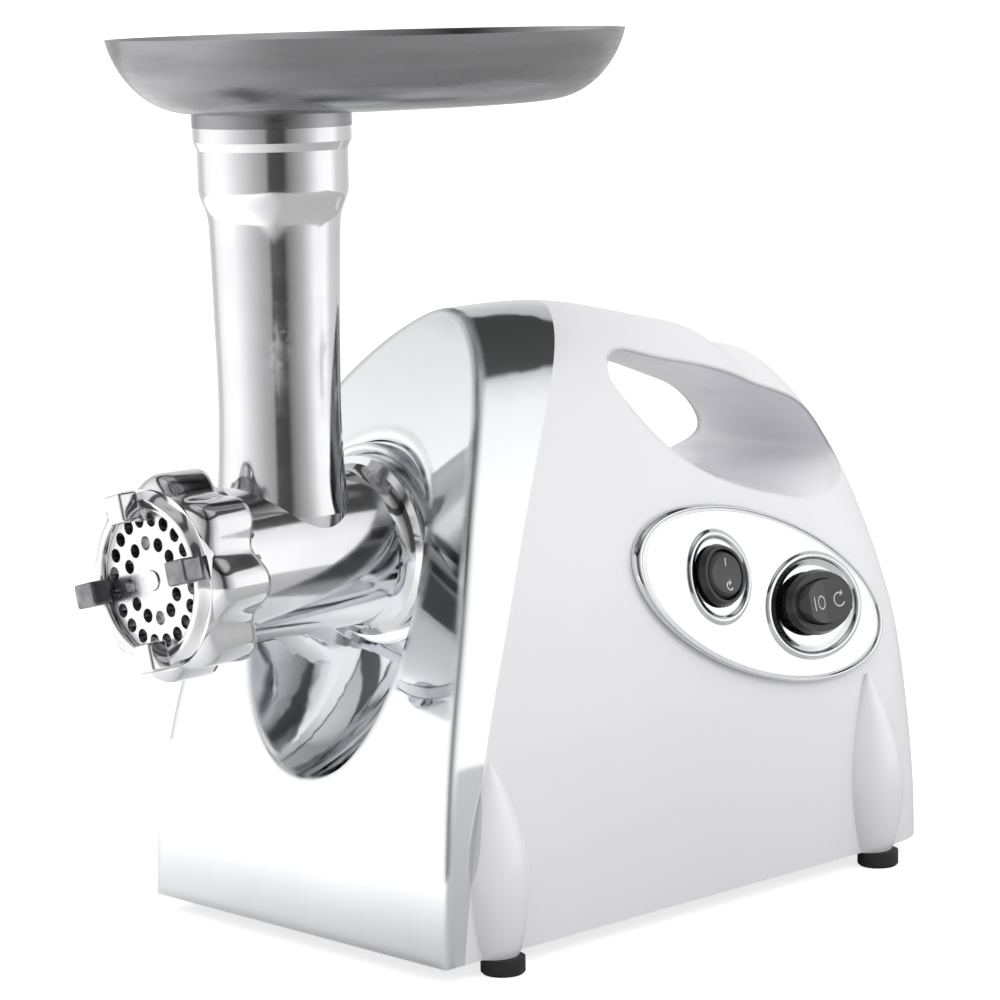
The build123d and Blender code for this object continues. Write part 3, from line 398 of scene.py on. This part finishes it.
def control_panel():
    """Oval bright panel: a double raised rim, and a dish around each switch."""
    face = surface_fit("control_panel", 0.05)
    centre_y, centre_z, tilt = 74.5 * MM, 114.0 * MM, math.radians(-18.0)
    long_half, short_half = 69.6 * MM, 31.0 * MM
    round_y, round_z = 50.5 * MM, 123.6 * MM
    oval_y, oval_z = 103.0 * MM, 106.7 * MM
    rings, steps = 190, 480
    verts, faces = [], []
    for i in range(rings + 1):
        share = i / rings
        for j in range(steps):
            angle = 2 * math.pi * j / steps
            u = share * long_half * math.cos(angle)
            v = share * short_half * math.sin(angle)
            y = centre_y + u * math.cos(tilt) - v * math.sin(tilt)
            z = centre_z + u * math.sin(tilt) + v * math.cos(tilt)
            # Millimetres in from the outer edge: the double rim.
            rim = short_half * (1 - share) / MM
            height = 0.9 * bump_between(rim, 0.0, 1.5) + 0.2 * bump_between(rim, 1.6, 2.3)
            # Millimetres from the round switch: ring, dish and opening.
            near = math.hypot(y - round_y, z - round_z) / MM
            height += 1.0 * bump_between(near, 14.4, 17.6) - 0.4 * (1 - ease(near, 13.4, 14.8))
            height -= 9.0 * (1 - ease(near, 10.5, 11.1))
            # Millimetres from the oval switch, across its short way: ring and dish, then opening.
            wide = math.hypot((y - oval_y + 1.5 * MM) / 1.42, z - oval_z + 0.6 * MM) / MM
            height += 0.9 * bump_between(wide, 17.4, 20.2) - 1.5 * (1 - ease(wide, 14.2, 18.6))
            deep = math.hypot((y - oval_y) / 1.66, z - oval_z) / MM
            height -= 9.0 * (1 - ease(deep, 9.4, 10.4))
            verts.append((face(y, z) + height * MM, y, z))
    for i in range(rings):
        for j in range(steps):
            k = (j + 1) % steps
            faces.append((i * steps + j, (i + 1) * steps + j, (i + 1) * steps + k, i * steps + k))
    edge = len(verts)
    for j in range(steps):
        x, y, z = verts[rings * steps + j]
        verts.append((x - 2.4 * MM, y, z))
    for j in range(steps):
        k = (j + 1) % steps
        faces.append((rings * steps + j, edge + j, edge + k, rings * steps + k))
    panel = mesh_piece("panel_face", verts, faces, "bright_panel", "base")
    cleaned = bmesh.new()
    cleaned.from_mesh(panel.data)
    bmesh.ops.remove_doubles(cleaned, verts=cleaned.verts, dist=0.01 * MM)
    cleaned.to_mesh(panel.data)
    cleaned.free()
    panel.data.set_sharp_from_angle(angle=math.radians(60))
    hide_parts("control_panel")


# ---------------------------------------------------------------- switch marks
def mark_paint():
    material, tree, shader = start_material("mark_paint", (0.62, 0.62, 0.63), 0.4)
    tint(tree, shader, noise_field(tree, 300), (0.55, 0.55, 0.56), (0.68, 0.68, 0.69))
    return material


def stroke(name, body, centre, right, up, tree, path, width, closed=False):
    """Painted line on a rocker: follows its surface along a path of (right, up) points in millimetres."""
    normal = right.cross(up)
    reach, sunk, raised = 50 * MM, 0.05 * MM, 0.16 * MM
    verts, faces = [], []
    count = len(path)
    for i, (a, b) in enumerate(path):
        before = path[i - 1] if closed or i > 0 else path[i]
        after = path[(i + 1) % count] if closed or i < count - 1 else path[i]
        along = Vector((after[0] - before[0], after[1] - before[1])).normalized()
        side = Vector((-along.y, along.x)) * width / 2
        for sign in (-1, 1):
            spot = centre + ((a + sign * side.x) * right + (b + sign * side.y) * up) * MM
            hit = tree.ray_cast(spot + normal * reach, -normal)[0]
            verts.append(hit + normal * sunk)
            verts.append(hit + normal * raised)
    last = count if closed else count - 1
    for i in range(last):
        a, b = i * 4, ((i + 1) % count) * 4
        faces += [(a + 1, b + 1, b + 3, a + 3), (a, a + 2, b + 2, b),
                  (a, b, b + 1, a + 1), (a + 2, a + 3, b + 3, b + 2)]
    if not closed:
        end = (count - 1) * 4
        faces += [(0, 1, 3, 2), (end, end + 2, end + 3, end + 1)]
    mark = mesh_piece(name, verts, faces, "rocker_plastic", body, smooth=False)
    mark.data.materials.clear()
    mark.data.materials.append(finish["marks"])


def arc_path(x, y, radius, start, end, steps):
    """Points along an arc, in degrees."""
    angles = [math.radians(start + (end - start) * i / (steps - 1)) for i in range(steps)]
    return [(x + radius * math.cos(angle), y + radius * math.sin(angle)) for angle in angles]


def switch_marks():
    """Generic symbols: a bar for on, a ring for off, an arc with an arrow for reverse."""
    finish["marks"] = mark_paint()
    right = Vector((0, 1, 0))
    # Rocker, lean of its face in degrees, size of its symbols, then the middle of bar, ring and arc.
    for rocker, lean, size, bar, ring, turn in (
            ("power_rocker", 11.7, 1.45, (-8.6, 0.0), (-3.6, 0.0), (6.6, 0.0)),
            ("direction_rocker", 14.0, 0.8, (0.0, 4.6), None, (0.0, -4.6))):
        low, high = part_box(rocker)
        centre = (low + high) / 2
        up = Vector((-math.sin(math.radians(lean)), 0, math.cos(math.radians(lean))))
        tree = node_tree(rocker)
        tip_x, tip_y = turn[0] + 0.9 * size, turn[1] + 1.56 * size
        arrow = [(tip_x - 0.1, tip_y + 1.1), (tip_x + 0.5, tip_y - 0.1), (tip_x - 0.9, tip_y - 0.7)]
        marks = [("on", [(bar[0], bar[1] + way * 1.9 * size) for way in (-1, 0, 1)], 0.6, False)]
        if ring:
            marks.append(("off", arc_path(*ring, 1.7 * size, 0, 345, 24), 0.5, True))
        marks.append(("reverse", arc_path(*turn, 1.8 * size, 60, 330, 20), 0.5, False))
        marks.append(("arrow", arrow, 0.45, False))
        for symbol, path, width, closed in marks:
            stroke(rocker + "_mark_" + symbol, rocker, centre, right, up, tree, path, width, closed)


ring_nut()
driving_lugs()
control_panel()
switch_marks()


# ---------------------------------------------------------------- floor, light and camera
def studio():
    """Pale floor, soft light and a bright surround with the few dark areas that polished metal needs."""
    mesh = bpy.data.meshes.new("floor")
    reach = 1.1
    mesh.from_pydata([(-reach, -reach, 0), (reach, -reach, 0), (reach, reach, 0), (-reach, reach, 0)], [],
                     [(0, 1, 2, 3)])
    floor = add_object("floor", mesh)
    pale, tree, shader = start_material("pale_floor", (0.45, 0.45, 0.45), 0.8)
    shader.inputs["Emission Color"].default_value = (1, 1, 1, 1)
    seen = tree.nodes.new("ShaderNodeLightPath").outputs
    # Polished metal sees a floor that is bright towards the front left only.
    direct_glow, mirrored_glow = 0.78, 0.75
    axes = object_axes(tree)
    lit_side = map_range(tree, math_node(tree, "ADD", axes["X"], axes["Y"]), 0.05, -0.45)
    lit = math_node(tree, "MULTIPLY", lit_side, mirrored_glow)
    mirrored = math_node(tree, "MULTIPLY", seen["Is Glossy Ray"], lit)
    glow = math_node(tree, "MULTIPLY_ADD", seen["Is Camera Ray"], direct_glow, mirrored)
    tree.links.new(glow, shader.inputs["Emission Strength"])
    mesh.materials.append(pale)

    # Place, size in metres and power in watts of each soft light.
    middle = Vector((0, 0, 0.15))
    for place, size, power in (((-0.9, -1.3, 1.4), 1.0, 5.0), ((1.3, 0.5, 1.0), 0.8, 5.5)):
        lamp = bpy.data.lights.new("soft_light", "AREA")
        lamp.size = size
        lamp.energy = power
        holder = add_object("soft_light", lamp)
        holder.location = place
        holder.visible_glossy = False
        holder.rotation_euler = (middle - Vector(place)).to_track_quat("-Z", "Y").to_euler()

    world = bpy.data.worlds.new("surround")
    bpy.context.scene.world = world
    world.use_nodes = True
    tree = world.node_tree
    background = tree.nodes["Background"]
    background.inputs["Strength"].default_value = 1.4
    coords = tree.nodes.new("ShaderNodeTexCoord")
    split = tree.nodes.new("ShaderNodeSeparateXYZ")
    tree.links.new(coords.outputs["Generated"], split.inputs["Vector"])
    azimuth = math_node(tree, "ARCTAN2", split.outputs["Y"], split.outputs["X"])

    def ramp(source, low, high, stops):
        """Grey ramp over low..high of a socket, from (position, tone) stops."""
        node = tree.nodes.new("ShaderNodeValToRGB")
        elements = node.color_ramp.elements
        while len(elements) < len(stops):
            elements.new(0.5)
        for element, (place, tone) in zip(elements, stops):
            element.position = place
            element.color = (tone, tone, tone, 1.0)
        tree.links.new(map_range(tree, source, low, high), node.inputs["Fac"])
        return node.outputs["Color"]

    # Reflections see a tone around the horizon times a tone by height; soft light sees a plain sky.
    around = ramp(azimuth, -math.pi, math.pi,
                  [(0.0, 0.5), (0.045, 0.85), (0.10, 0.97), (0.17, 0.93), (0.22, 0.72), (0.25, 0.6),
                   (0.28, 0.5), (0.31, 0.4), (0.34, 0.33), (0.355, 0.3), (0.37, 0.07), (0.43, 0.05),
                   (0.455, 0.2), (0.485, 0.3), (0.52, 0.42), (0.55, 0.6), (0.59, 0.9), (0.66, 0.95),
                   (0.70, 0.6), (0.78, 0.5), (0.9, 0.6), (1.0, 0.5)])
    height = ramp(split.outputs["Z"], -0.2, 1.0,
                  [(0.0, 1.0), (0.48, 0.95), (0.70, 0.76), (0.715, 0.62), (0.725, 0.09), (0.815, 0.08),
                   (0.83, 0.42), (1.0, 0.5)])
    fill = ramp(split.outputs["Z"], -0.2, 1.0, [(0.0, 0.25), (0.25, 0.45), (0.6, 0.76), (1.0, 1.0)])
    combine = tree.nodes.new("ShaderNodeMixRGB")
    combine.blend_type = "MULTIPLY"
    combine.inputs["Fac"].default_value = 1.0
    tree.links.new(around, combine.inputs["Color1"])
    tree.links.new(height, combine.inputs["Color2"])
    seen = tree.nodes.new("ShaderNodeLightPath")
    choose = tree.nodes.new("ShaderNodeMixRGB")
    tree.links.new(fill, choose.inputs["Color1"])
    tree.links.new(seen.outputs["Is Glossy Ray"], choose.inputs["Fac"])
    tree.links.new(combine.outputs["Color"], choose.inputs["Color2"])
    blank = tree.nodes.new("ShaderNodeMixRGB")
    blank.inputs["Color2"].default_value = (1.0, 1.0, 1.0, 1.0)
    tree.links.new(seen.outputs["Is Camera Ray"], blank.inputs["Fac"])
    tree.links.new(choose.outputs["Color"], blank.inputs["Color1"])
    tree.links.new(blank.outputs["Color"], background.inputs["Color"])


def photo_camera():
    """Camera to the right of the head, a little above the object."""
    azimuth, elevation, roll = math.radians(45.89), math.radians(8.37), math.radians(-1.13)
    forward = Vector((-math.sin(azimuth) * math.cos(elevation), math.cos(azimuth) * math.cos(elevation),
                      -math.sin(elevation)))
    level = Vector((math.cos(azimuth), math.sin(azimuth), 0))
    upright = level.cross(forward)
    right = math.cos(roll) * level + math.sin(roll) * upright
    up = -math.sin(roll) * level + math.cos(roll) * upright
    data = bpy.data.cameras.new("camera")
    data.lens = 128.6
    data.sensor_width = 36.0
    place = Vector((0.9596, -0.9252, 0.3482))
    camera = add_object("camera", data)
    turn = Matrix((right, up, -forward)).transposed().to_4x4()
    camera.matrix_world = Matrix.Translation(place) @ turn
    bpy.context.scene.camera = camera


studio()
photo_camera()
bpy.context.scene.view_settings.view_transform = "Standard"
